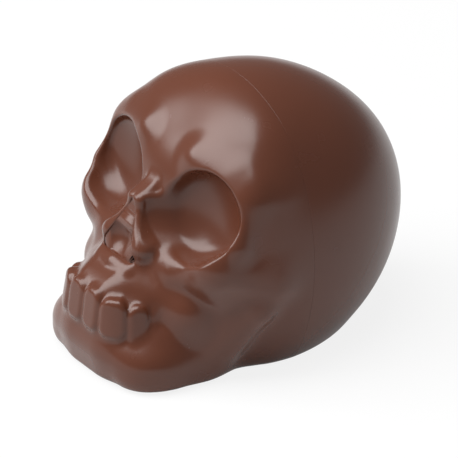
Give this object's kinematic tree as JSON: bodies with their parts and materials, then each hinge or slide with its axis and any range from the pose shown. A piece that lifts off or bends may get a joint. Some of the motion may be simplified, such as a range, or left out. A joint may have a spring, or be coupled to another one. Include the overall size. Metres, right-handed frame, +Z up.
{
  "type": "hollow moulded chocolate skull",
  "caption": "Hollow chocolate skull cast in a two-part mould: a face half and a plain back half joined rim to rim, standing on a flat base.",
  "frame": {"origin": "centre of the bounding box's underside, on the surface that the skull stands on", "axes": "+X to the skull's left, -Y the way the face looks, +Z up; the seam between the halves is a plane across Y, 0.9 mm behind the origin"},
  "size_m": [0.0822, 0.1076, 0.0821],
  "materials": {
    "shell_chocolate": "glossy moulded chocolate, polished by the mould",
    "bead_chocolate": "dull set chocolate"
  },
  "bodies": {
    "root": {"face_half_shell": "shell_chocolate", "back_half_shell": "shell_chocolate", "seam_bond_bead": "bead_chocolate"}
  },
  "joints": []
}
